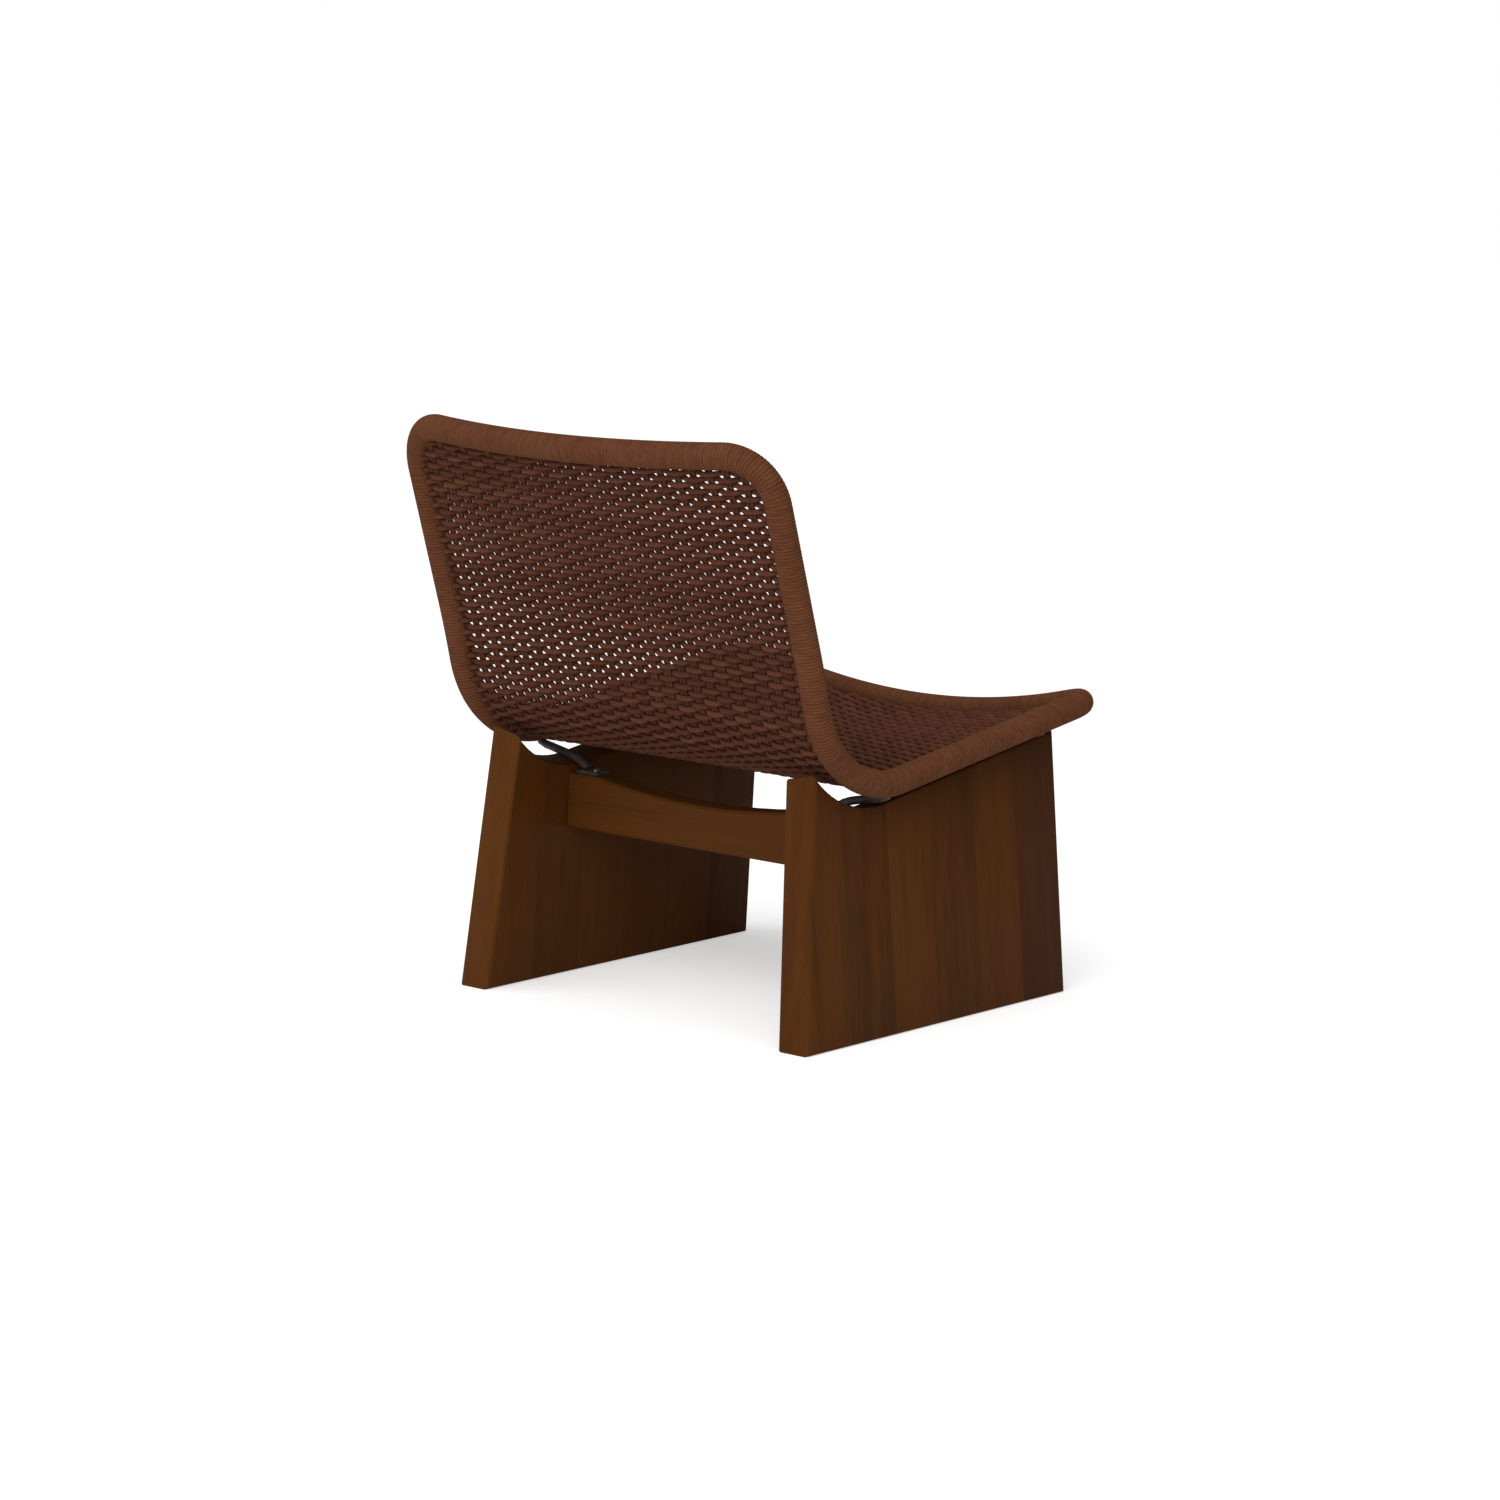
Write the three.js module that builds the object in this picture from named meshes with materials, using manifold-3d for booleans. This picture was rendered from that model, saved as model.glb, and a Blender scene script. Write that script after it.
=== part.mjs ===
// Low lounge chair: a roped steel seat frame carried between two slab side panels of glued staves.
// Millimetres, +Z up. The chair faces -Y, the sitter's left is +X, and the floor is z = 0.
import * as THREE from "three";
import { mergeVertices } from "three/addons/utils/BufferGeometryUtils.js";
import Module from "manifold-3d";

const wasm = await Module();
wasm.setup();

// Side panels
const panelLength = 500; // along the floor
const panelThickness = 50;
const panelToRim = 9.3; // from the outer face's front top corner in under the wound rim
const panelSplay = THREE.MathUtils.degToRad(4.15); // the panels lean in towards the seat
const rearRake = THREE.MathUtils.degToRad(6.8); // the rear edges lean forward
const panelTopFall = 10; // how far the top edge falls from the outer to the inner face
const panelEdgeRadius = 5;
const panelBelowRim = 31; // top edge under the rim's centre line
const staveCount = 6;
const glueLine = 0.3;

// Seat frame: its centre line in side view runs from the front end by the seat corner and the
// lumbar point to the top. Each is placed from the nearer end of the panels, at its own height.
const frameHalfWidth = 306; // to the tube's centre
const seatFrontOverhang = 57;
const seatFrontHeight = 381;
const seatCornerInset = 42;
const seatCornerHeight = 303.5;
const lumbarInset = 2;
const lumbarHeight = 476.5;
const backTopOverhang = 73.5;
const backTopHeight = 743;
const seatBendRadius = 139;
const lumbarRadius = 1170;
const topCornerRadius = 63;
const frontCornerRadius = 54;
const frontSag = 46; // the front and top tubes bow by this much at the middle
const topSag = 36;
const waistPlace = 0.69; // share of the way from the front to the top where the weave pulls in
const waistPull = 19.5; // how far the middle of the weave stands inside the rims there
const waistBlend = 50;
const tubeRadius = 12.7;
const cornerTail = 6; // straight end of a corner bend, where it meets the side tube
const weldGap = 0.3;

// Rope
const ropeWrapThickness = 4; // cord wound side by side round the tube
const wrapFit = 0.3;
const weaveThickness = 14;
const weaveClearance = 0.6; // to the wound rim

// Stretchers between the panels
const rearStretcherInset = 150; // from the panel's rear end to the middle of its thickness
const frontStretcherInset = 50;
const stretcherThickness = 36;
const stretcherHeight = 72;
const stretcherBelowRim = 49.6; // its top edge under the rim's centre line
const stretcherScoop = 15;
const scoopToTab = 7;
const stretcherEdgeRadius = 3;
const shoulderGap = 0.3;
const tenonLength = 56; // half in the stretcher, half in the panel
const tenonHeight = 40;
const tenonThickness = 12;
const tenonFit = 0.3;

// Brackets that carry the frame on the stretchers, and their screws
const rodRadius = 5.5;
const rodOverOuterEdge = 4; // air under the rod as it crosses the panel's top
const rodOverInnerEdge = 1.5;
const rodReach = 18; // from the panel's inner face to the rod's end
const tabLength = 40;
const tabWidth = 20;
const tabThickness = 4;
const tabRest = 0.3;
const screwInset = 13; // from the tab's inner end
const screwRadius = 2.5;
const screwLength = 26;
const screwHeadRadius = 5;
const screwHeadHeight = 3;
const screwHeadDome = 0.6; // share of the head that is straight, in height and in radius
const screwFit = 0.3;

const wood = new THREE.MeshStandardMaterial({ color: 0x55301a, roughness: 0.55, metalness: 0 });
const endWood = new THREE.MeshStandardMaterial({ color: 0xb98d5c, roughness: 0.8, metalness: 0 });
const steel = new THREE.MeshStandardMaterial({ color: 0x2e2a28, roughness: 0.5, metalness: 0.7 });
const zinc = new THREE.MeshStandardMaterial({ color: 0xb5b3ad, roughness: 0.3, metalness: 1 });
const wrapRope = new THREE.MeshStandardMaterial({ color: 0x5c3a28, roughness: 0.85, metalness: 0 });
const weaveRope = new THREE.MeshStandardMaterial({ color: 0x4b2d24, roughness: 0.9, metalness: 0 });

const armchair = new THREE.Group();

// A closed geometry as a solid. Mirrored pieces swap left and right and keep their faces outward.
function solid(geometry, mirrored = false) {
  const bare = geometry.clone();
  bare.deleteAttribute("normal");
  bare.deleteAttribute("uv");
  if (mirrored) bare.scale(-1, 1, 1);
  const merged = mergeVertices(bare, 1e-4);
  const triVerts = new Uint32Array(merged.index.array);
  if (mirrored) {
    for (let i = 0; i < triVerts.length; i += 3) {
      [triVerts[i + 1], triVerts[i + 2]] = [triVerts[i + 2], triVerts[i + 1]];
    }
  }
  const vertProperties = merged.attributes.position.array;
  return new wasm.Manifold(new wasm.Mesh({ numProp: 3, vertProperties, triVerts }));
}

function addPiece(name, body, material) {
  const { numProp, numVert, vertProperties, triVerts } = body.getMesh();
  const positions = new Float32Array(numVert * 3);
  for (let i = 0; i < numVert; i++) {
    positions.set(vertProperties.subarray(i * numProp, i * numProp + 3), i * 3);
  }
  const indexed = new THREE.BufferGeometry();
  indexed.setAttribute("position", new THREE.BufferAttribute(positions, 3));
  indexed.setIndex(new THREE.BufferAttribute(triVerts, 1));
  const geometry = indexed.toNonIndexed();
  geometry.computeVertexNormals();
  const piece = new THREE.Mesh(geometry, material);
  piece.name = name;
  armchair.add(piece);
}

function box(sizeX, sizeY, sizeZ, x, y, z) {
  return new THREE.BoxGeometry(sizeX, sizeY, sizeZ).translate(x, y, z);
}

// The arc that rounds a corner between two straight runs.
function filletArc(before, corner, after, radius) {
  const back = before.clone().sub(corner).normalize();
  const ahead = after.clone().sub(corner).normalize();
  const half = Math.acos(back.dot(ahead)) / 2;
  const reach = radius / Math.tan(half);
  const start = corner.clone().addScaledVector(back, reach);
  const end = corner.clone().addScaledVector(ahead, reach);
  const middle = back.clone().add(ahead).normalize();
  const centre = corner.clone().addScaledVector(middle, radius / Math.sin(half));
  const clockwise = back.cross(ahead) > 0;
  const startAngle = start.clone().sub(centre).angle();
  const endAngle = end.clone().sub(centre).angle();
  return { start, end, centre, radius, startAngle, endAngle, clockwise };
}

// Side view of the frame's centre line, in y and z, from the front end to the top.
const panelEnd = panelLength / 2;
const seatFront = new THREE.Vector2(-panelEnd - seatFrontOverhang, seatFrontHeight);
const seatCorner = new THREE.Vector2(panelEnd - seatCornerInset, seatCornerHeight);
const lumbar = new THREE.Vector2(panelEnd - lumbarInset, lumbarHeight);
const backTop = new THREE.Vector2(panelEnd + backTopOverhang, backTopHeight);
const seatBend = filletArc(seatFront, seatCorner, lumbar, seatBendRadius);
const lumbarBend = filletArc(seatCorner, lumbar, backTop, lumbarRadius);
const sideLine = new THREE.Path().moveTo(seatFront.x, seatFront.y);
for (const bend of [seatBend, lumbarBend]) {
  const { start, centre, radius, startAngle, endAngle, clockwise } = bend;
  sideLine.lineTo(start.x, start.y);
  sideLine.absarc(centre.x, centre.y, radius, startAngle, endAngle, clockwise);
}
sideLine.lineTo(backTop.x, backTop.y);
const sideLength = sideLine.getLength();
const bendStart = seatFront.distanceTo(seatBend.start);
const bendEnd = sideLength - seatBend.end.distanceTo(lumbar) - lumbar.distanceTo(backTop);

// Height of the rim's centre line over a point of the straight seat run or of the seat bend.
function rimHeight(y) {
  if (y < seatBend.start.x) {
    const slope = (seatCorner.y - seatFront.y) / (seatCorner.x - seatFront.x);
    return seatFront.y + slope * (y - seatFront.x);
  }
  return seatBend.centre.y - Math.sqrt(seatBend.radius ** 2 - (y - seatBend.centre.x) ** 2);
}

// How far the middle of the surface stands outside the rims: out at both ends, in at the waist.
function sagAt(s) {
  const waist = waistPlace * sideLength;
  const rise = (place) => Math.hypot(place - waist, waistBlend) - waistBlend;
  const [end, endSag] = s < waist ? [0, frontSag] : [sideLength, topSag];
  return ((endSag + waistPull) * rise(s)) / rise(end) - waistPull;
}

// A point of the tensioned seat surface: x across, s along the side line, lift to the sitter.
function shellPoint(x, s, lift = 0) {
  const at = THREE.MathUtils.clamp(s / sideLength, 0, 1);
  const point = sideLine.getPoint(at);
  const along = sideLine.getTangent(at);
  const depth = sagAt(at * sideLength) * (1 - (x / frameHalfWidth) ** 2) - lift;
  return new THREE.Vector3(x, point.x + along.y * depth, point.y - along.x * depth);
}

// A run of the rim through chosen places of the flattened shell, with one step at each place.
class RimRun extends THREE.Curve {
  constructor(places) {
    super();
    this.places = places;
  }
  getUtoTmapping(u) {
    return u;
  }
  getPoint(t) {
    const { places } = this;
    const i = Math.min(Math.floor(t * (places.length - 1)), places.length - 2);
    const place = places[i].clone().lerp(places[i + 1], t * (places.length - 1) - i);
    return shellPoint(place.x, place.y);
  }
}

// Steps along each stretch and round each section
const roundSection = 5; // half the number of sides
const cornerSteps = 8;
const bowSteps = 8;
const bendSteps = 14;
const uprightSteps = 5;
const rodSteps = 12;
const turnedSides = 10;

function ringSection(outerRadius, innerRadius) {
  const section = new THREE.Shape().absarc(0, 0, outerRadius, 0, 2 * Math.PI);
  if (innerRadius) section.holes.push(new THREE.Path().absarc(0, 0, innerRadius, 0, 2 * Math.PI));
  return section;
}

function sweep(section, path, steps) {
  return new THREE.ExtrudeGeometry(section, { extrudePath: path, steps, curveSegments: roundSection });
}

function span(from, to, steps) {
  return Array.from({ length: steps + 1 }, (_, i) => THREE.MathUtils.lerp(from, to, i / steps));
}

// Places along one end of the frame: a corner, the bowed crossing and the other corner.
function endPlaces(endLine, inward, radius) {
  const turn = span(0, Math.PI / 2, cornerSteps);
  const corner = turn.map((a) => [
    frameHalfWidth - radius * (1 - Math.cos(a)),
    endLine + inward * radius * (1 - Math.sin(a)),
  ]);
  const bow = span(radius - frameHalfWidth, frameHalfWidth - radius, bowSteps).slice(1, -1);
  corner.unshift([frameHalfWidth, endLine + inward * (radius + cornerTail - weldGap / 2)]);
  const run = [
    ...corner.map(([x, s]) => [-x, s]),
    ...bow.map((x) => [x, endLine]),
    ...corner.reverse(),
  ];
  return run.map(([x, s]) => new THREE.Vector2(x, s));
}

// Places along the frame's side at x: the seat rail, the bend and the back upright.
function sidePlaces(x) {
  const lowEnd = frontCornerRadius + cornerTail + weldGap / 2;
  const highEnd = sideLength - topCornerRadius - cornerTail - weldGap / 2;
  const bend = span(bendStart, bendEnd, bendSteps);
  const upright = span(bendEnd, highEnd, uprightSteps).slice(1);
  return [lowEnd, ...bend, ...upright].map((s) => new THREE.Vector2(x, s));
}

const frameRuns = {
  right_side: new RimRun(sidePlaces(-frameHalfWidth)),
  left_side: new RimRun(sidePlaces(frameHalfWidth)),
  top: new RimRun(endPlaces(sideLength, -1, topCornerRadius)),
  front: new RimRun(endPlaces(0, 1, frontCornerRadius)),
};

const rimRadius = tubeRadius + wrapFit + ropeWrapThickness;

function frameSweep(run, outerRadius, innerRadius) {
  return solid(sweep(ringSection(outerRadius, innerRadius), run, run.places.length - 1));
}

// Side panels
const splaySlope = Math.tan(panelSplay);
const rakeSlope = Math.tan(rearRake);
const panelFrontTop = rimHeight(-panelLength / 2) - panelBelowRim;

// How far out the panel's outer face stands at height z.
function panelFace(z) {
  return frameHalfWidth - rimRadius - panelToRim + (panelFrontTop - z) * splaySlope;
}

// Height of the panel's top edge at the inner face, where it has fallen from z.
function innerHeight(z) {
  return z * (1 - panelTopFall / panelFrontTop);
}

// Where the raked rear edge meets the hollow that the seat's bend sits over.
function hornPoint(centre, radius) {
  const a = rakeSlope ** 2 + 1;
  const b = rakeSlope * (panelLength / 2 - centre.x) + centre.y;
  const c = (panelLength / 2 - centre.x) ** 2 + centre.y ** 2 - radius ** 2;
  const z = (b - Math.sqrt(b * b - a * c)) / a;
  return new THREE.Vector2(panelLength / 2 - z * rakeSlope, z);
}

function panelOutline() {
  const centre = seatBend.centre.clone();
  centre.y -= panelBelowRim;
  const horn = hornPoint(centre, seatBend.radius);
  const hornAngle = horn.clone().sub(centre).angle();
  const front = -panelLength / 2;
  const outline = new THREE.Shape().moveTo(front, 0).lineTo(panelLength / 2, 0);
  outline.lineTo(horn.x, horn.y);
  outline.absarc(centre.x, centre.y, seatBend.radius, hornAngle, seatBend.startAngle, true);
  outline.lineTo(front, panelFrontTop);
  return outline;
}

// The whole right panel: its outline, leaned in and with its top falling inwards.
function panelGeometry() {
  const geometry = new THREE.ExtrudeGeometry(panelOutline(), {
    depth: panelThickness - 2 * panelEdgeRadius,
    curveSegments: 7,
    bevelThickness: panelEdgeRadius,
    bevelSize: panelEdgeRadius,
    bevelOffset: -panelEdgeRadius,
    bevelSegments: 2,
  });
  const position = geometry.attributes.position;
  for (let i = 0; i < position.count; i++) {
    const inward = position.getZ(i) + panelEdgeRadius;
    const height = position.getY(i);
    const z = THREE.MathUtils.lerp(height, innerHeight(height), inward / panelThickness);
    position.setXYZ(i, inward - panelFace(z), position.getX(i), z);
  }
  return geometry;
}

function stretcherAt(y) {
  return { y, top: rimHeight(y) - stretcherBelowRim };
}

const stretchers = {
  rear: stretcherAt(panelLength / 2 - rearStretcherInset),
  front: stretcherAt(frontStretcherInset - panelLength / 2),
};

// A loose tenon across the joint of the right panel and a stretcher, grown by fit for its mortise.
function tenonGeometry({ y, top }, fit = 0) {
  const z = top - stretcherHeight / 2;
  const x = panelThickness - panelFace(z);
  return box(tenonLength + 4 * fit, tenonThickness + 2 * fit, tenonHeight + 2 * fit, x, y, z);
}

// Turned shapes stand on the z axis.
function turned(outline, sides) {
  const profile = outline.map(([radius, z]) => new THREE.Vector2(radius, z));
  return new THREE.LatheGeometry(profile, sides).rotateX(Math.PI / 2);
}

function screwGeometry(fit = 0) {
  const shank = screwRadius + fit;
  const head = screwHeadRadius + fit;
  const outline = [
    [0, -screwLength - fit],
    [shank, -screwLength + screwRadius],
    [shank, -fit],
    [head, -fit],
    [head, screwHeadHeight * screwHeadDome],
    [screwHeadRadius * screwHeadDome, screwHeadHeight],
    [0, screwHeadHeight],
  ];
  return turned(outline, turnedSides);
}

// How far from the middle the tab of a bracket over this stretcher ends.
function tabInnerEnd({ y }) {
  const panelInner = panelFace(rimHeight(y) - panelBelowRim) - panelThickness;
  return panelInner - 2 * shoulderGap - panelEdgeRadius - tabLength;
}

// The parts of one bracket of the right side, over the stretcher that it is screwed to.
function bracketParts(stretcher) {
  const { y, top } = stretcher;
  const panelTop = rimHeight(y) - panelBelowRim;
  const tabTop = top + tabRest + tabThickness;
  const outer = new THREE.Vector3(-panelFace(panelTop), y, panelTop + rodRadius + rodOverOuterEdge);
  const innerTop = innerHeight(panelTop);
  const inner = new THREE.Vector3(outer.x + panelThickness, y, innerTop + rodRadius + rodOverInnerEdge);
  const end = new THREE.Vector3(inner.x + rodReach, y, tabTop + rodRadius / 2);
  const start = new THREE.Vector3(-frameHalfWidth, y, rimHeight(y));
  const below = new THREE.Vector3(start.x + rodRadius, y, start.z - rimRadius);
  const path = new THREE.CatmullRomCurve3([start, below, outer, inner, end]);
  const tabEnd = -tabInnerEnd(stretcher);
  const tab = box(tabLength, tabWidth, tabThickness, tabEnd - tabLength / 2, y, tabTop - tabThickness / 2);
  const screwPlace = new THREE.Vector3(tabEnd - screwInset, y, tabTop + screwFit);
  return { path, tab, screwPlace };
}

function rodGeometry(path, radius) {
  return sweep(ringSection(radius), path, rodSteps);
}

// A stretcher from panel to panel, seen from the front, with its top scooped for the seat's sag.
function stretcherGeometry(stretcher) {
  const { y, top } = stretcher;
  const scoopHalf = tabInnerEnd(stretcher) - scoopToTab;
  const bottom = top - stretcherHeight;
  const bottomHalf = panelFace(bottom) - panelThickness - shoulderGap;
  const topHalf = panelFace(top) - panelThickness - shoulderGap;
  const outline = new THREE.Shape().moveTo(-bottomHalf, bottom).lineTo(bottomHalf, bottom);
  outline.lineTo(topHalf, top);
  outline.lineTo(scoopHalf, top);
  outline.quadraticCurveTo(0, top - 2 * stretcherScoop, -scoopHalf, top);
  outline.lineTo(-topHalf, top);
  const depth = stretcherThickness - 2 * stretcherEdgeRadius;
  const geometry = new THREE.ExtrudeGeometry(outline, {
    depth,
    curveSegments: 10,
    bevelThickness: stretcherEdgeRadius,
    bevelSize: stretcherEdgeRadius,
    bevelOffset: -stretcherEdgeRadius,
    bevelSegments: 1,
  });
  return geometry.rotateX(Math.PI / 2).translate(0, y + depth / 2, 0);
}

const stretcherBodies = {};
for (const [place, stretcher] of Object.entries(stretchers)) {
  stretcherBodies[place] = solid(stretcherGeometry(stretcher));
}
const wrapBodies = {};
const tubeBodies = {};
for (const [place, run] of Object.entries(frameRuns)) {
  tubeBodies[place] = frameSweep(run, tubeRadius);
  wrapBodies[place] = frameSweep(run, rimRadius, tubeRadius + wrapFit);
}

for (const side of ["right", "left"]) {
  const mirrored = side === "left";
  const frameSide = `${side}_side`;

  // Panel staves, with the mortises of the two stretchers
  let panel = solid(panelGeometry(), mirrored);
  for (const stretcher of Object.values(stretchers)) {
    panel = panel.subtract(solid(tenonGeometry(stretcher, tenonFit), mirrored));
  }
  const staveWidth = panelLength / staveCount;
  const slabReach = 2 * backTop.y;
  for (let i = 0; i < staveCount; i++) {
    const y = -panelLength / 2 + (i + 0.5) * staveWidth;
    const slab = box(slabReach, staveWidth - glueLine, slabReach, 0, y, 0);
    addPiece(`${side}_panel_stave_${i + 1}`, panel.intersect(solid(slab)), wood);
  }

  for (const [place, stretcher] of Object.entries(stretchers)) {
    addPiece(`${place}_stretcher_${side}_tenon`, solid(tenonGeometry(stretcher), mirrored), endWood);
    const mortise = solid(tenonGeometry(stretcher, tenonFit), mirrored);

    // Bracket: a rod from the frame tube over the panel's top, with a tab on the stretcher
    const { path, tab, screwPlace } = bracketParts(stretcher);
    const { x, y, z } = screwPlace;
    const screwHole = solid(screwGeometry(screwFit).translate(x, y, z), mirrored);
    const tubeClear = frameSweep(frameRuns[frameSide], tubeRadius + wrapFit);
    let bracket = solid(rodGeometry(path, rodRadius), mirrored).add(solid(tab, mirrored));
    bracket = bracket.subtract(screwHole).subtract(tubeClear);
    addPiece(`${place}_${side}_bracket`, bracket, steel);
    addPiece(`${place}_${side}_bracket_screw`, solid(screwGeometry().translate(x, y, z), mirrored), zinc);

    stretcherBodies[place] = stretcherBodies[place].subtract(mortise).subtract(screwHole);
    const rodHole = solid(rodGeometry(path, rodRadius + wrapFit), mirrored);
    wrapBodies[frameSide] = wrapBodies[frameSide].subtract(rodHole);
  }
}

for (const place of Object.keys(stretchers)) {
  addPiece(`${place}_stretcher`, stretcherBodies[place], wood);
}
for (const place of Object.keys(frameRuns)) {
  addPiece(`${place}_frame_tube`, tubeBodies[place], steel);
  addPiece(`${place}_rope_wrap`, wrapBodies[place], wrapRope);
}

// Woven seat and back: one sagging panel of rope inside the rim, with rounded corners.
const weaveInset = rimRadius + weaveClearance;
const weaveColumns = 10;

// Half the weave's width at a distance in from its end, where the corner has this radius.
function weaveHalfWidth(inFromEnd, cornerRadius) {
  const radius = cornerRadius - weaveInset;
  const full = frameHalfWidth - weaveInset;
  if (inFromEnd >= radius) return full;
  return full - radius + Math.sqrt(radius ** 2 - (radius - inFromEnd) ** 2);
}

function weaveGeometry() {
  const frontEnd = weaveInset;
  const topEnd = sideLength - weaveInset;
  const turn = span(0, Math.PI / 2, 5).map((a) => 1 - Math.cos(a));
  const frontRadius = frontCornerRadius - weaveInset;
  const topRadius = topCornerRadius - weaveInset;
  const rows = [
    ...turn.map((part) => frontEnd + frontRadius * part),
    ...span(frontEnd + frontRadius, bendStart, 3).slice(1, -1),
    ...span(bendStart, bendEnd, 12),
    ...span(bendEnd, topEnd - topRadius, 5).slice(1, -1),
    ...turn.map((part) => topEnd - topRadius * part).reverse(),
  ];
  const geometry = new THREE.BoxGeometry(2, rows.length - 1, 1, weaveColumns, rows.length - 1, 1);
  const position = geometry.attributes.position;
  for (let i = 0; i < position.count; i++) {
    const row = Math.round(position.getY(i) + (rows.length - 1) / 2);
    const s = rows[row];
    const halfWidth = Math.min(
      weaveHalfWidth(s - frontEnd, frontCornerRadius),
      weaveHalfWidth(topEnd - s, topCornerRadius),
    );
    const point = shellPoint(position.getX(i) * halfWidth, s, position.getZ(i) * weaveThickness);
    position.setXYZ(i, point.x, point.y, point.z);
  }
  return geometry;
}

addPiece("woven_seat_and_back", solid(weaveGeometry()), weaveRope);

// The origin is on the floor under the middle of the whole chair.
const extent = new THREE.Box3().setFromObject(armchair);
armchair.position.y = -(extent.min.y + extent.max.y) / 2;

export default armchair;
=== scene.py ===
import math

import bmesh
import bpy
import numpy as np
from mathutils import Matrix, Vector


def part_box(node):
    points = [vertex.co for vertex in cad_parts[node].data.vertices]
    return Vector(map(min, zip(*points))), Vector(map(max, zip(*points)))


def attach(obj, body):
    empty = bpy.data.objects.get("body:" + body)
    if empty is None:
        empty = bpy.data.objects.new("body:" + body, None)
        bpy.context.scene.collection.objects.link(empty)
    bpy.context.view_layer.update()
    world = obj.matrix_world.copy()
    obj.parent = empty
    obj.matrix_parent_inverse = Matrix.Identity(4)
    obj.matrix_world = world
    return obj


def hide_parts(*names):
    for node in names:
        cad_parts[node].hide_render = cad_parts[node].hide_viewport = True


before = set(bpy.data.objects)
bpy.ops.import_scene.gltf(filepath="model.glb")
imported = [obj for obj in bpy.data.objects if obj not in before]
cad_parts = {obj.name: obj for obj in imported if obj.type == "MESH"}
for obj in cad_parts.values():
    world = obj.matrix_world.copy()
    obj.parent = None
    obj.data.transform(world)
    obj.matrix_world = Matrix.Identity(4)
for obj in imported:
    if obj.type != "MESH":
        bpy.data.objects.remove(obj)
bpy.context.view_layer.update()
scene = bpy.context.scene
mm = 0.001

# The seat frame's lines, as in the CAD part: y and z from the front end to the top, before the
# chair is centred over its origin.
seatFrame = {
    "halfWidth": 306 * mm,
    "front": (-307 * mm, 381 * mm),
    "corner": (208 * mm, 303.5 * mm),
    "lumbar": (248 * mm, 476.5 * mm),
    "top": (323.5 * mm, 743 * mm),
    "bendRadius": 139 * mm,
    "lumbarRadius": 1170 * mm,
    "topCorner": 63 * mm,
    "frontCorner": 54 * mm,
    "cornerTail": 6 * mm,
    "frontSag": 46 * mm,
    "topSag": 36 * mm,
    "waistPlace": 0.69,
    "waistPull": 19.5 * mm,
    "waistBlend": 50 * mm,
    "rimRadius": 17 * mm,
}
stretcherY = 100 * mm
stretcherLow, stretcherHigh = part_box("rear_stretcher")
originY = (stretcherLow.y + stretcherHigh.y) / 2 - stretcherY


# Camera

view = {
    "place": (-4.0906, 4.48219, 1.35854),
    "yaw": -47.474,
    "pitch": -9.764,
    "lens": 114.66,
    "sensor": 36,
    "reach": 50,
}
cameraData = bpy.data.cameras.new("camera")
cameraData.lens = view["lens"]
cameraData.sensor_width = view["sensor"]
cameraData.clip_end = view["reach"]
camera = bpy.data.objects.new("camera", cameraData)
scene.collection.objects.link(camera)
camera.location = Vector(view["place"]) + Vector((0, originY, 0))
camera.rotation_euler = (
    math.radians(90 + view["pitch"]),
    0,
    math.radians(view["yaw"] - 90),
)
scene.camera = camera


# The seat surface

def filletArc(before, corner, after, radius):
    before, corner, after = (np.array(p, float) for p in (before, corner, after))
    back = (before - corner) / np.linalg.norm(before - corner)
    ahead = (after - corner) / np.linalg.norm(after - corner)
    half = math.acos(back @ ahead) / 2
    reach = radius / math.tan(half)
    middle = (back + ahead) / np.linalg.norm(back + ahead)
    centre = corner + middle * radius / math.sin(half)
    start, end = corner + back * reach, corner + ahead * reach
    startAngle = math.atan2(*(start - centre)[::-1])
    endAngle = math.atan2(*(end - centre)[::-1])
    turn = (endAngle - startAngle + math.pi) % (2 * math.pi) - math.pi
    return {
        "start": start,
        "end": end,
        "centre": centre,
        "radius": radius,
        "angle": startAngle,
        "turn": turn,
        "length": abs(turn) * radius,
    }


seatBend = filletArc(
    seatFrame["front"], seatFrame["corner"], seatFrame["lumbar"], seatFrame["bendRadius"]
)
lumbarBend = filletArc(
    seatFrame["corner"], seatFrame["lumbar"], seatFrame["top"], seatFrame["lumbarRadius"]
)
frontPoint, topPoint = np.array(seatFrame["front"]), np.array(seatFrame["top"])
seatRun = np.linalg.norm(seatBend["start"] - frontPoint)
lowerBack = np.linalg.norm(lumbarBend["start"] - seatBend["end"])
upperBack = np.linalg.norm(topPoint - lumbarBend["end"])
sideLength = seatRun + seatBend["length"] + lowerBack + lumbarBend["length"] + upperBack
bendEnd = seatRun + seatBend["length"]


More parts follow.
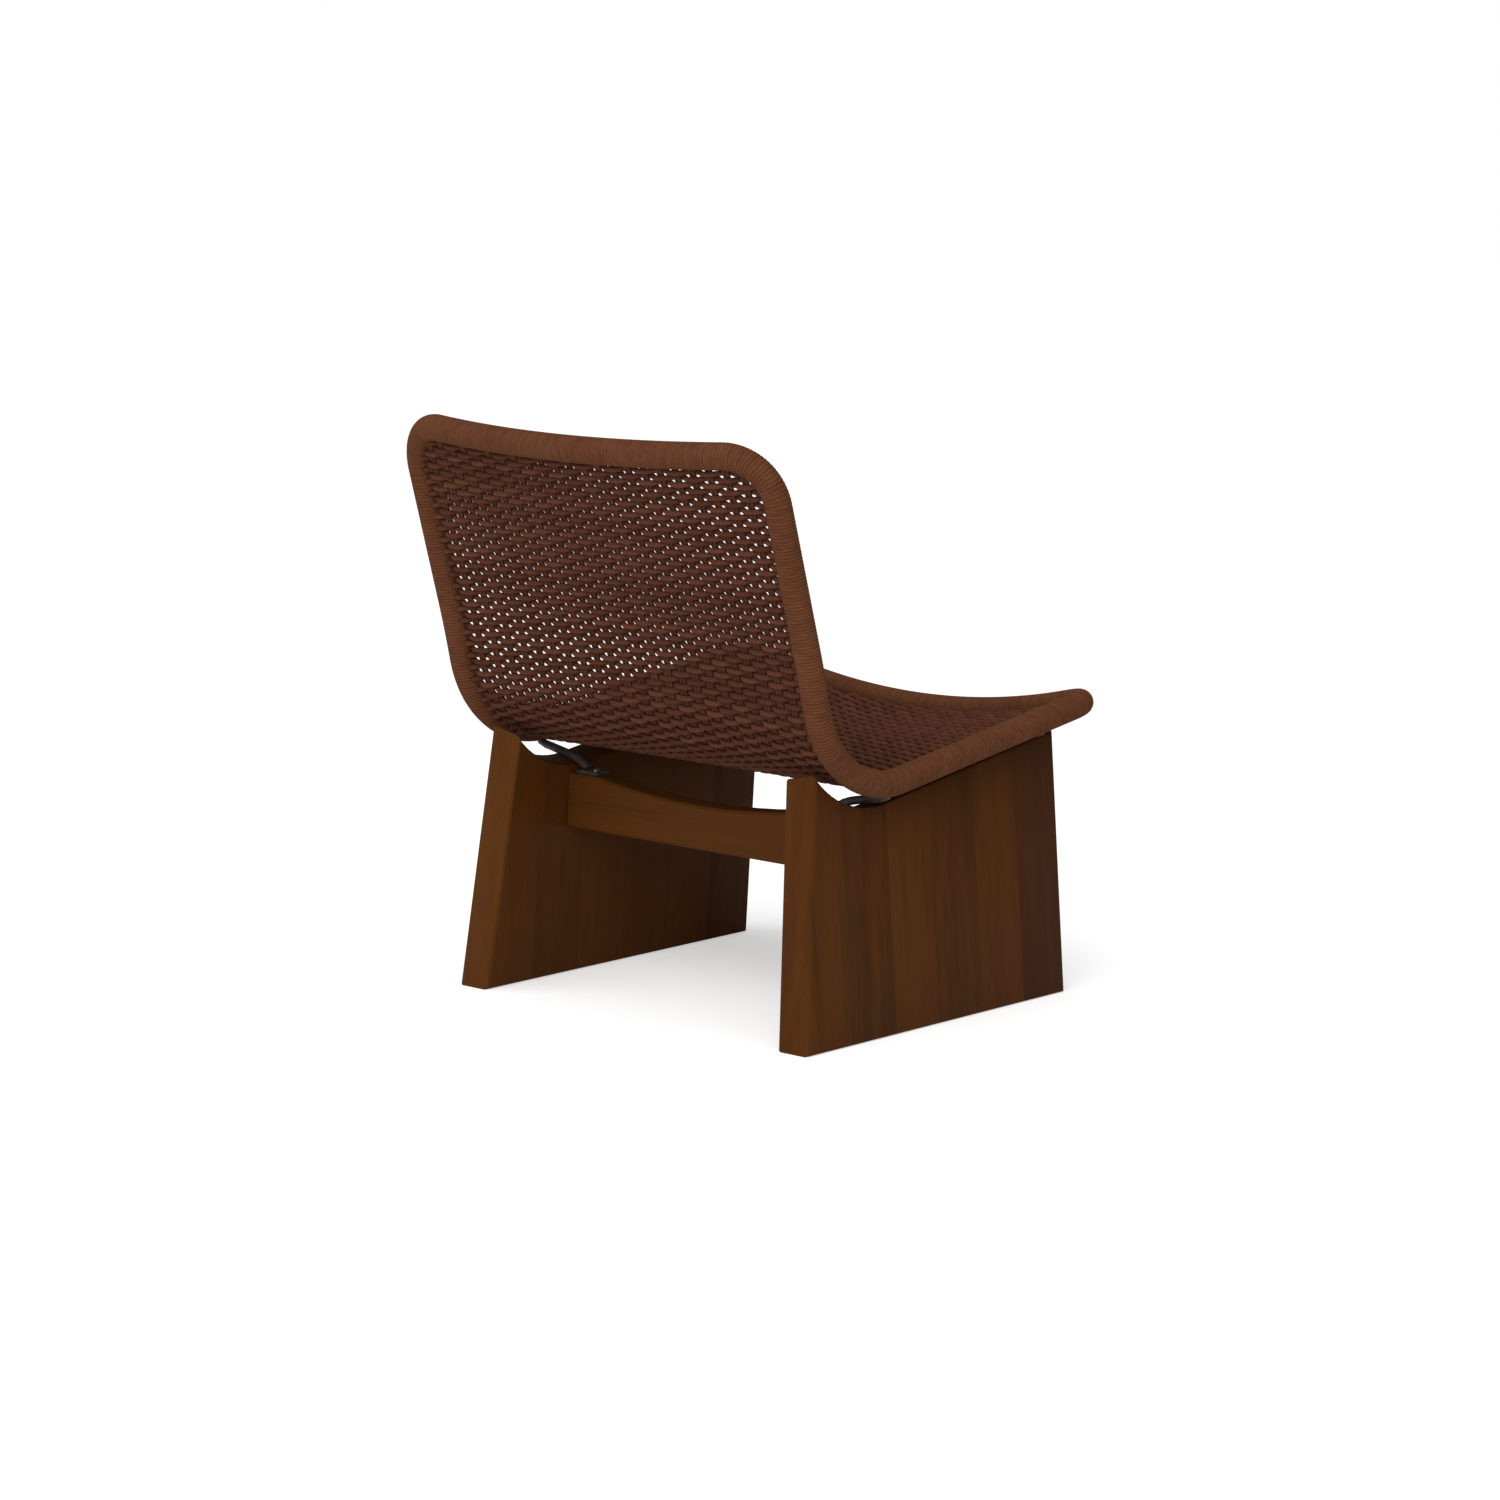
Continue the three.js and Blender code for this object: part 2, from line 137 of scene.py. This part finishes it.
# Place and direction, in y and z, at distances s along the side line.
def sidePoint(s):
    s = np.asarray(s, float)
    place = np.zeros(s.shape + (2,))
    along = np.zeros(s.shape + (2,))

    def straight(mask, start, end, offset):
        direction = (end - start) / np.linalg.norm(end - start)
        place[mask] = start + direction * (s[mask] - offset)[:, None]
        along[mask] = direction

    def curved(mask, bend, offset):
        sign = math.copysign(1, bend["turn"])
        angle = bend["angle"] + sign * (s[mask] - offset) / bend["radius"]
        spoke = np.stack([np.cos(angle), np.sin(angle)], -1)
        place[mask] = bend["centre"] + bend["radius"] * spoke
        along[mask] = sign * np.stack([-spoke[:, 1], spoke[:, 0]], -1)

    stops = np.cumsum([seatRun, seatBend["length"], lowerBack, lumbarBend["length"]])
    straight(s <= stops[0], frontPoint, seatBend["start"], 0)
    curved((s > stops[0]) & (s <= stops[1]), seatBend, stops[0])
    straight((s > stops[1]) & (s <= stops[2]), seatBend["end"], lumbarBend["start"], stops[1])
    curved((s > stops[2]) & (s <= stops[3]), lumbarBend, stops[2])
    straight(s > stops[3], lumbarBend["end"], topPoint, stops[3])
    return place, along


# How far the middle of the surface stands outside the rims: out at both ends, in at the waist.
def sagAt(s):
    waist = seatFrame["waistPlace"] * sideLength
    pull, blend = seatFrame["waistPull"], seatFrame["waistBlend"]
    rise = np.hypot(s - waist, blend) - blend
    lower = (seatFrame["frontSag"] + pull) / (math.hypot(waist, blend) - blend)
    upper = (seatFrame["topSag"] + pull) / (math.hypot(sideLength - waist, blend) - blend)
    return rise * np.where(s < waist, lower, upper) - pull


# Points and their directions towards the sitter, at x across and s along, raised by lift.
def shellPoint(x, s, lift=0):
    x, s = np.broadcast_arrays(np.asarray(x, float), np.asarray(s, float))
    place, along = sidePoint(s)
    sag = sagAt(np.clip(s, 0, sideLength)) * (1 - (x / seatFrame["halfWidth"]) ** 2)
    up = np.stack([np.zeros(x.shape), -along[..., 1], along[..., 0]], -1)
    points = np.stack([x, place[..., 0] + originY, place[..., 1]], -1)
    return points + up * (lift - sag)[..., None], up


def unit(vectors):
    return vectors / np.linalg.norm(vectors, axis=-1, keepdims=True)


# Meshes

def link(name, mesh, material, slot, *nodes):
    mesh.materials.append(material)
    piece = bpy.data.objects.new(name, mesh)
    scene.collection.objects.link(piece)
    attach(piece, "root")
    if nodes:
        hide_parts(*nodes)
    return piece


# Closed tubes round the given paths. A radius may vary along and around; a path has one tone.
# The UV map holds the distance along the cord and the share of a turn round it.
def tubeMesh(name, runs, sides):
    vertices, faces, ends, uvs, tones = [], [], [], [], []
    offset = 0
    for run in runs:
        points, up = run["points"], run["up"]
        count = len(points)
        along = unit(np.gradient(points, axis=0))
        across = unit(np.cross(up, along))
        up = np.cross(along, across)
        turn = np.linspace(0, 2 * math.pi, sides, endpoint=False)
        radius = np.broadcast_to(run["radius"], (count, sides))[..., None]
        ring = np.cos(turn)[:, None] * up[:, None] + np.sin(turn)[:, None] * across[:, None]
        vertices.append((points[:, None] + ring * radius).reshape(-1, 3))
        lengths = np.concatenate([[0], np.cumsum(np.linalg.norm(np.diff(points, axis=0), axis=1))])
        i, j = np.meshgrid(np.arange(count - 1), np.arange(sides), indexing="ij")
        k = (j + 1) % sides
        here, ahead = i * sides, (i + 1) * sides
        quads = np.stack([here + j, ahead + j, ahead + k, here + k], -1)
        faces.append(quads.reshape(-1, 4) + offset)
        last = offset + (count - 1) * sides
        ends.append(list(range(offset, offset + sides)))
        ends.append(list(range(last + sides - 1, last - 1, -1)))
        u = np.stack([lengths[i], lengths[i + 1], lengths[i + 1], lengths[i]], -1) + run["start"]
        v = np.stack([j, j, j + 1, j + 1], -1) / sides
        uvs.append(np.stack([u, v], -1).reshape(-1, 2))
        tones.append(np.full(count * sides, run["tone"]))
        offset += count * sides
    mesh = bpy.data.meshes.new(name)
    mesh.from_pydata(np.concatenate(vertices).tolist(), [], np.concatenate(faces).tolist() + ends)
    layer = mesh.uv_layers.new(name="cord")
    cordUvs = np.concatenate(uvs)
    capUvs = np.repeat(cordUvs[:1], len(mesh.loops) - len(cordUvs), axis=0)
    layer.data.foreach_set("uv", np.concatenate([cordUvs, capUvs]).astype(np.float32).ravel())
    tone = mesh.attributes.new("tone", "FLOAT", "POINT")
    tone.data.foreach_set("value", np.concatenate(tones).astype(np.float32))
    mesh.shade_smooth()
    mesh.update()
    return mesh


# A copy of a CAD node's mesh, merged, and shaded smooth between its flat faces.
def smoothCopy(node, tone, smoothAngle=32, mergeWithin=0.01 * mm, flatWithin=1):
    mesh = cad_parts[node].data.copy()
    mesh.name = node + "_mesh"
    mesh.materials.clear()
    work = bmesh.new()
    work.from_mesh(mesh)
    bmesh.ops.remove_doubles(work, verts=work.verts, dist=mergeWithin)
    bmesh.ops.dissolve_limit(
        work, angle_limit=math.radians(flatWithin), verts=work.verts, edges=work.edges
    )
    limit = math.radians(smoothAngle)
    for face in work.faces:
        face.smooth = True
    for e in work.edges:
        e.smooth = e.calc_face_angle(0) <= limit
    work.to_mesh(mesh)
    work.free()
    layer = mesh.attributes.new("tone", "FLOAT", "POINT")
    layer.data.foreach_set("value", np.full(len(mesh.vertices), tone, np.float32))
    mesh.update()
    return mesh


# Shaders

def feed(tree, socket, value):
    if isinstance(value, Field):
        tree.links.new(value.socket, socket)
    else:
        socket.default_value = value


class Field:
    def __init__(self, tree, socket):
        self.tree = tree
        self.socket = socket

    def maths(self, operation, *values):
        node = self.tree.nodes.new("ShaderNodeMath")
        node.operation = operation
        for socket, value in zip(node.inputs, values):
            feed(self.tree, socket, value)
        return Field(self.tree, node.outputs[0])

    def __add__(self, other):
        return self.maths("ADD", self, other)

    def __radd__(self, other):
        return self.maths("ADD", other, self)

    def __sub__(self, other):
        return self.maths("SUBTRACT", self, other)

    def __rsub__(self, other):
        return self.maths("SUBTRACT", other, self)

    def __mul__(self, other):
        return self.maths("MULTIPLY", self, other)

    def __rmul__(self, other):
        return self.maths("MULTIPLY", other, self)

    def __truediv__(self, other):
        return self.maths("DIVIDE", self, other)

    def sine(self):
        return self.maths("SINE", self)

    def size(self):
        return self.maths("ABSOLUTE", self)


def linear(red, green, blue):
    channels = [c / 255 for c in (red, green, blue)]
    lit = [c / 12.92 if c <= 0.04045 else ((c + 0.055) / 1.055) ** 2.4 for c in channels]
    return (*lit, 1)


class Paint:
    def __init__(self, name, **constants):
        self.material = bpy.data.materials.new(name)
        self.material.use_nodes = True
        self.tree = self.material.node_tree
        self.surface = self.tree.nodes["Principled BSDF"]
        for socket, value in constants.items():
            self.surface.inputs[socket.replace("_", " ")].default_value = value

    def node(self, kind, settings, values, output=0):
        node = self.tree.nodes.new(kind)
        for name, value in settings.items():
            setattr(node, name, value)
        for name, value in values.items():
            feed(self.tree, node.inputs[name], value)
        return Field(self.tree, node.outputs[output])

    def place(self):
        return self.node("ShaderNodeTexCoord", {}, {}, "Object")

    def cordPlace(self):
        return self.node("ShaderNodeUVMap", {"uv_map": "cord"}, {})

    def tone(self):
        return self.node("ShaderNodeAttribute", {"attribute_name": "tone"}, {}, "Fac")

    def parts(self, vector):
        split = self.tree.nodes.new("ShaderNodeSeparateXYZ")
        feed(self.tree, split.inputs[0], vector)
        return [Field(self.tree, socket) for socket in split.outputs]

    def joined(self, x, y, z=0.0):
        return self.node("ShaderNodeCombineXYZ", {}, {"X": x, "Y": y, "Z": z})

    def noise(self, vector, scale, detail=3.0, rough=0.5):
        values = {"Vector": vector, "Scale": scale, "Detail": detail, "Roughness": rough}
        return self.node("ShaderNodeTexNoise", {}, values)

    def spread(self, value, low, high, toLow=0.0, toHigh=1.0):
        values = {
            "Value": value, "From Min": low, "From Max": high, "To Min": toLow, "To Max": toHigh
        }
        return self.node("ShaderNodeMapRange", {"clamp": True}, values)

    def blend(self, factor, first, second, mode="MIX"):
        node = self.tree.nodes.new("ShaderNodeMix")
        node.data_type = "RGBA"
        node.blend_type = mode
        feed(self.tree, node.inputs[0], factor)
        feed(self.tree, node.inputs[6], first)
        feed(self.tree, node.inputs[7], second)
        return Field(self.tree, node.outputs[2])

    def colour(self, value):
        feed(self.tree, self.surface.inputs["Base Color"], value)

    def roughness(self, value):
        feed(self.tree, self.surface.inputs["Roughness"], value)

    def bump(self, height, distance, strength=1.0):
        values = {"Height": height, "Distance": distance, "Strength": strength}
        normal = self.node("ShaderNodeBump", {}, values)
        feed(self.tree, self.surface.inputs["Normal"], normal)


# Wood

wood = {
    "dark": linear(60, 31, 11),
    "middle": linear(84, 48, 18),
    "light": linear(103, 60, 22),
    "red": linear(86, 42, 19),
    "roughness": (0.44, 0.58),
    "specular": 0.05,
    "wander": 12 * mm,
    "wanderScale": 7.0,
    "broadScale": 38.0,
    "narrowScale": 190.0,
    "poreScale": 900.0,
    "redScale": 22.0,
    "grainDepth": 0.12 * mm,
}


# Streaks run along one axis: the grain's scale is small that way and large across it.
def woodPaint(name, grainAxis):
    paint = Paint(name, Specular_IOR_Level=wood["specular"])
    tone = paint.tone()
    x, y, z = paint.parts(paint.place())
    lanes = [x, y, z]
    along = lanes.pop("XYZ".index(grainAxis))
    wander = paint.noise(paint.joined(lanes[0], lanes[1], along * 0.6), wood["wanderScale"], 2.0)
    first = lanes[0] + wander * wood["wander"] + tone * 0.7
    second = lanes[1] + wander * wood["wander"] + tone * 1.3
    broad = paint.noise(
        paint.joined(first, second, along * 0.035), wood["broadScale"], 3.0, 0.55
    )
    narrow = paint.noise(
        paint.joined(first, second, along * 0.02), wood["narrowScale"], 3.0, 0.6
    )
    pores = paint.noise(
        paint.joined(first, second, along * 0.012), wood["poreScale"], 2.0, 0.6
    )
    lit = broad * 0.33 + narrow * 0.22 + 0.225 + (tone - 0.5) * 0.35
    body = paint.blend(paint.spread(lit, 0.22, 0.56), wood["dark"], wood["middle"])
    body = paint.blend(paint.spread(lit, 0.46, 0.82), body, wood["light"])
    patches = paint.noise(paint.joined(first, second, along * 0.05), wood["redScale"])
    redness = paint.spread(patches, 0.45, 0.7)
    body = paint.blend(redness * 0.3, body, wood["red"])
    poreMask = paint.spread(pores, 0.56, 0.7)
    body = paint.blend(poreMask * 0.25, body, wood["dark"])
    paint.colour(body)
    paint.roughness(paint.spread(narrow + poreMask * 0.3, 0.3, 0.9, *wood["roughness"]))
    paint.bump(narrow * 0.5 - poreMask * 0.5, wood["grainDepth"])
    return paint.material


panelWood = woodPaint("panel_wood", "Z")
railWood = woodPaint("rail_wood", "X")
# The left panel's staves get a higher tone, which lightens their colour and moves their grain:
# painted light that lifts this panel, which stands in shade.
staves = {"tones": (0.22, 0.6, 0.5, 0.7, 0.42, 0.64), "leftPaintedLight": 0.32}
for side, paintedLight in (("right", 0.0), ("left", staves["leftPaintedLight"])):
    for i, tone in enumerate(staves["tones"]):
        node = f"{side}_panel_stave_{i + 1}"
        mesh = smoothCopy(node, tone + paintedLight)
        link(f"{side}_stave_{i + 1}", mesh, panelWood, "stained_wood", node)
for place, tone in (("rear", 0.7), ("front", 0.5)):
    node = f"{place}_stretcher"
    mesh = smoothCopy(node, tone)
    link(f"{place}_rail", mesh, railWood, "stained_wood", node)
print("wood done")


# Brackets and screws

metal = {"cloudScale": 60.0, "gritDepth": 0.08 * mm}


def metalPaint(name, base, worn, metallic, roughness, grit):
    paint = Paint(name, Metallic=metallic)
    place = paint.place()
    cloud = paint.noise(place, metal["cloudScale"], 4.0)
    speck = paint.noise(place, grit, 2.0)
    paint.colour(paint.blend(paint.spread(cloud, 0.4, 0.75), base, worn))
    paint.roughness(paint.spread(speck + cloud, 0.7, 1.4, roughness, roughness + 0.2))
    paint.bump(speck, metal["gritDepth"])
    return paint.material


coatPaint = metalPaint("powder_coat", linear(64, 56, 52), linear(86, 77, 71), 0.1, 0.42, 1400.0)
zincPaint = metalPaint("zinc_plate", linear(186, 184, 178), linear(160, 158, 150), 1.0, 0.25, 700.0)
tubePaint = metalPaint("tube_coat", linear(50, 44, 41), linear(70, 62, 56), 0.4, 0.4, 1100.0)
for place in ("rear", "front"):
    for side in ("right", "left"):
        node = f"{place}_{side}_bracket"
        link(f"{place}_{side}_hanger", smoothCopy(node, 0, 45), coatPaint, "dark_steel", node)
        node += "_screw"
        link(f"{place}_{side}_screw", smoothCopy(node, 0, 40), zincPaint, "zinc", node)


def repaint(node, material):
    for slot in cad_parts[node].material_slots:
        slot.link = "OBJECT"
        slot.material = material


tenonPaint = woodPaint("tenon_beech", "X")
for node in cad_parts:
    if node.endswith("frame_tube"):
        repaint(node, tubePaint)
    if node.endswith("tenon"):
        repaint(node, tenonPaint)
print("metal done")


# Rope wound side by side round the frame

wrap = {
    "pitch": 4.2 * mm,
    "groove": 0.65 * mm,
    "samples": 5,
    "sides": 22,
    "base": linear(104, 62, 40),
    "light": linear(124, 77, 52),
    "darkFibreAndPaintedShade": linear(52, 28, 17),
    "roughness": 0.85,
    "specular": 0.06,
    "turnScale": 240.0,
    "cloudScale": 14.0,
    "fibreScale": 170.0,
    "strands": 14,
    "depth": 0.5 * mm,
    "cornerSteps": 60,
    "bowSteps": 160,
}


def wrapPaint():
    paint = Paint(
        "wound_cord", Roughness=wrap["roughness"], Specular_IOR_Level=wrap["specular"]
    )
    u, v, _ = paint.parts(paint.cordPlace())
    phase = u / wrap["pitch"] - v
    strand = (phase * math.tau + v * math.tau * wrap["strands"]).sine()
    crest = (phase * math.pi).sine().size()
    turnTone = paint.noise(paint.joined(u * 1.0, v * 0.02), wrap["turnScale"], 1.0)
    cloud = paint.noise(paint.joined(u, v * 0.05), wrap["cloudScale"], 3.0)
    fibre = paint.noise(paint.joined(u * 8, v), wrap["fibreScale"], 3.0, 0.7)
    lit = paint.spread(turnTone * 0.6 + cloud * 0.4, 0.35, 0.65)
    body = paint.blend(lit, wrap["base"], wrap["light"])
    # The same dark colour gives the fibres their darker tone, and below it painted shade in the
    # grooves.
    body = paint.blend(paint.spread(fibre, 0.35, 0.7) * 0.3, body, wrap["darkFibreAndPaintedShade"])
    # Painted shade: the colour darkens towards the grooves between the turns of the wound cord.
    body = paint.blend(paint.spread(crest, 0.0, 0.6, 0.55, 0.0), body, wrap["darkFibreAndPaintedShade"])
    paint.colour(body)
    paint.bump(crest * 0.7 + strand * 0.12 + fibre * 0.2, wrap["depth"])
    return paint.material


# The wound rope's radius: round cords side by side, on a slow screw line round the tube.
def woundRadius(distance, sides):
    turn = np.arange(sides) / sides
    phase = distance[:, None] / wrap["pitch"] - turn[None]
    across = np.abs(2 * (phase % 1) - 1)
    return seatFrame["rimRadius"] - wrap["groove"] * across**3


def wrapRun(places, start):
    points, up = shellPoint(places[:, 0], places[:, 1])
    steps = np.linalg.norm(np.diff(points, axis=0), axis=1)
    distance = np.concatenate([[0], np.cumsum(steps)]) + start
    radius = woundRadius(distance, wrap["sides"])
    return {"points": points, "up": up, "radius": radius, "start": start, "tone": 0.5}


# Places at even steps along a line of corners and arcs across one end of the frame.
def endPlaces(endLine, inward, radius):
    turn = np.linspace(0, math.pi / 2, wrap["cornerSteps"])
    half = seatFrame["halfWidth"]
    tail = seatFrame["cornerTail"]
    corner = np.stack(
        [half - radius * (1 - np.cos(turn)), endLine + inward * radius * (1 - np.sin(turn))], -1
    )
    corner = np.concatenate([[[half, endLine + inward * (radius + tail)]], corner])
    bow = np.linspace(radius - half, half - radius, wrap["bowSteps"])[1:-1]
    bow = np.stack([bow, np.full(len(bow), endLine)], -1)
    line = np.concatenate([corner * [-1, 1], bow, corner[::-1]])
    return evenPlaces(line)


def evenPlaces(line):
    steps = np.linalg.norm(np.diff(line, axis=0), axis=1)
    distance = np.concatenate([[0], np.cumsum(steps)])
    count = int(distance[-1] / wrap["pitch"] * wrap["samples"])
    even = np.linspace(0, distance[-1], count)
    return np.stack([np.interp(even, distance, line[:, axis]) for axis in (0, 1)], -1)


wrapMaterial = wrapPaint()
lowEnd = seatFrame["frontCorner"] + seatFrame["cornerTail"]
highEnd = sideLength - seatFrame["topCorner"] - seatFrame["cornerTail"]
for side, x in (("right", -seatFrame["halfWidth"]), ("left", seatFrame["halfWidth"])):
    places = evenPlaces(np.array([[x, lowEnd], [x, highEnd]]))
    mesh = tubeMesh(f"{side}_wound", [wrapRun(places, 0)], wrap["sides"])
    link(f"{side}_rim_cord", mesh, wrapMaterial, "wrap_cord", f"{side}_side_rope_wrap")
for end, places in (
    ("top", endPlaces(sideLength, -1, seatFrame["topCorner"])),
    ("front", endPlaces(0, 1, seatFrame["frontCorner"])),
):
    mesh = tubeMesh(f"{end}_wound", [wrapRun(places, 0)], wrap["sides"])
    link(f"{end}_rim_cord", mesh, wrapMaterial, "wrap_cord", f"{end}_rope_wrap")
print("wound cord done")


# Woven seat and back

weave = {
    "rowPitch": 8 * mm,
    "rowRadius": 3.58 * mm,
    "warpPitch": 24.5 * mm,
    "warpRadius": 2.4 * mm,
    "warpGap": 2.6 * mm,
    "swing": 3.9 * mm,
    "warpSwing": 0.9 * mm,
    "inset": 17.6 * mm,
    "tuck": 3.5 * mm,
    "setBack": 3 * mm,
    "rowSamples": 7,
    "warpSamples": 2,
    "rowSides": 9,
    "warpSides": 6,
    "base": linear(93, 55, 40),
    "light": linear(113, 70, 53),
    "darkFibreAndPaintedShade": linear(40, 20, 13),
    "roughness": 0.88,
    "specular": 0.05,
    "layTurns": 900,
    "fibreScale": 900.0,
    "stretchScale": 9.0,
    "depth": 0.5 * mm,
    "toneSeed": 11,
    "toneRange": (0.2, 0.8),
}


def ropePaint():
    paint = Paint(
        "woven_rope", Roughness=weave["roughness"], Specular_IOR_Level=weave["specular"]
    )
    u, v, _ = paint.parts(paint.cordPlace())
    tone = paint.tone()
    turns = weave["layTurns"]
    lay = (u * turns + v * math.tau * 2).sine() * (u * turns - v * math.tau * 2).sine()
    fibre = paint.noise(paint.joined(u, v * 0.006, tone), weave["fibreScale"], 3.0, 0.7)
    stretch = paint.noise(paint.joined(u, tone * 3.1), weave["stretchScale"], 2.0)
    body = paint.blend(
        paint.spread(stretch * 0.5 + tone * 0.5, 0.3, 0.7), weave["base"], weave["light"]
    )
    # The dark colour gives the fibres their darker tone, and below it painted shade in the grooves
    # of the lay.
    body = paint.blend(paint.spread(fibre, 0.35, 0.75) * 0.3, body, weave["darkFibreAndPaintedShade"])
    # Painted shade: the colour darkens in the grooves between the strands of the lay.
    body = paint.blend(paint.spread(lay, -1.0, 0.2, 0.25, 0.0), body, weave["darkFibreAndPaintedShade"])
    paint.colour(body)
    paint.bump(lay * 0.5 + fibre * 0.6, weave["depth"])
    return paint.material


# Half the woven width at a distance in from an end whose corner has this radius.
def halfWidthAt(inFromEnd, corner):
    radius = corner - weave["inset"]
    full = seatFrame["halfWidth"] - weave["inset"]
    inside = np.clip(inFromEnd, 0, radius)
    return full - radius + np.sqrt(radius**2 - (radius - inside) ** 2)


# How far in from that end the woven area starts at x across.
def endInset(x, corner):
    radius = corner - weave["inset"]
    full = seatFrame["halfWidth"] - weave["inset"]
    over = max(0, abs(x) - (full - radius))
    return radius - math.sqrt(max(0, radius**2 - over**2))


weaveStart, weaveEnd = weave["inset"], sideLength - weave["inset"]
rowCount = round((weaveEnd - weaveStart) / weave["rowPitch"])
rowStep = (weaveEnd - weaveStart) / rowCount
tones = np.random.default_rng(weave["toneSeed"]).uniform(*weave["toneRange"], rowCount * 2)


def rowPlace(row):
    return weaveStart + (row + 0.5) * rowStep


def weftRun(row):
    s = rowPlace(row)
    half = min(
        halfWidthAt(s - weaveStart, seatFrame["frontCorner"]),
        halfWidthAt(weaveEnd - s, seatFrame["topCorner"]),
    )
    half += weave["tuck"]
    count = int(2 * half / weave["warpPitch"] * weave["rowSamples"])
    x = np.linspace(-half, half, count)
    wave = np.cos(math.pi * (x / weave["warpPitch"] + row))
    lift = weave["swing"] * np.sin(math.pi / 2 * wave) - weave["setBack"]
    points, up = shellPoint(x, s, lift)
    run = {"points": points, "up": up, "radius": weave["rowRadius"], "tone": tones[row]}
    run["start"] = row * 1.37
    return run


def warpRuns(index):
    runs = []
    for offset in (-weave["warpGap"], weave["warpGap"]):
        x = index * weave["warpPitch"] + offset
        low = weaveStart + endInset(x, seatFrame["frontCorner"]) - weave["tuck"]
        high = weaveEnd - endInset(x, seatFrame["topCorner"]) + weave["tuck"]
        count = int((high - low) / rowStep * weave["warpSamples"])
        s = np.linspace(low, high, count)
        wave = np.cos(math.pi * ((s - weaveStart) / rowStep - 0.5 + index))
        points, up = shellPoint(x, s, -weave["warpSwing"] * wave - weave["setBack"])
        tone = tones[(index * 2) % len(tones)]
        run = {"points": points, "up": up, "radius": weave["warpRadius"], "tone": tone}
        run["start"] = index * 2.11 + offset
        runs.append(run)
    return runs


ropeMaterial = ropePaint()
stretches = {"seat": (0, seatRun), "bend": (seatRun, bendEnd), "back": (bendEnd, sideLength)}
warpLimit = int((seatFrame["halfWidth"] - weave["inset"]) / weave["warpPitch"])
warps = [run for i in range(-warpLimit, warpLimit + 1) for run in warpRuns(i)]
for stretch, (low, high) in stretches.items():
    rows = [row for row in range(rowCount) if low <= rowPlace(row) < high]
    rowsMesh = tubeMesh(f"{stretch}_rows_mesh", [weftRun(row) for row in rows], weave["rowSides"])
    link(f"{stretch}_rope_rows", rowsMesh, ropeMaterial, "woven_rope")
warpMesh = tubeMesh("warp_mesh", warps, weave["warpSides"])
link("warp_ropes", warpMesh, ropeMaterial, "woven_rope", "woven_seat_and_back")
print("weave done", rowCount, len(warps))


# Floor and light

# The backdrop and the floor look white, and light the chair less than the lamps do.
studio = {"seen": 1.0, "cast": 0.25, "floorGlow": 0.46, "floorReach": 12, "aim": 0.4}
floorMesh = bpy.data.meshes.new("floor")
reach = studio["floorReach"]
floorMesh.from_pydata(
    [(-reach, -reach, 0), (reach, -reach, 0), (reach, reach, 0), (-reach, reach, 0)],
    [],
    [(0, 1, 2, 3)],
)
floorPaint = Paint("floor_paint", Roughness=0.9, Emission_Strength=studio["floorGlow"])
floorCloud = floorPaint.noise(floorPaint.place(), 1.5, 2.0)
floorPaint.colour(
    floorPaint.blend(floorCloud, linear(250, 250, 250), linear(254, 254, 254))
)
seenByCamera = floorPaint.node("ShaderNodeLightPath", {}, {})
glow = floorPaint.blend(seenByCamera, (0, 0, 0, 1), (1, 1, 1, 1))
feed(floorPaint.tree, floorPaint.surface.inputs["Emission Color"], glow)
floorMesh.materials.append(floorPaint.material)
floor = bpy.data.objects.new("floor", floorMesh)
scene.collection.objects.link(floor)

world = bpy.data.worlds.new("studio")
world.use_nodes = True
ray = Field(world.node_tree, world.node_tree.nodes.new("ShaderNodeLightPath").outputs[0])
strength = ray * (studio["seen"] - studio["cast"]) + studio["cast"]
backdrop = world.node_tree.nodes["Background"]
backdrop.inputs["Color"].default_value = (1, 1, 1, 1)
feed(world.node_tree, backdrop.inputs["Strength"], strength)
scene.world = world
scene.view_settings.view_transform = "Standard"

target = Vector((0, 0, studio["aim"]))
lamps = {
    "overhead": {"kind": "SUN", "place": (-0.8, 1.2, 4.0), "spread": 1.3, "power": 1.3},
    "key": {"kind": "AREA", "place": (-1.7, 3.2, 2.2), "spread": 2.6, "power": 42},
    "side": {"kind": "AREA", "place": (3.0, 2.2, 2.4), "spread": 2.6, "power": 22},
}
for name, lamp in lamps.items():
    light = bpy.data.lights.new(name, lamp["kind"])
    setattr(light, "angle" if lamp["kind"] == "SUN" else "size", lamp["spread"])
    light.energy = lamp["power"]
    holder = bpy.data.objects.new(name, light)
    scene.collection.objects.link(holder)
    holder.location = lamp["place"]
    holder.rotation_euler = (target - holder.location).to_track_quat("-Z", "Y").to_euler()
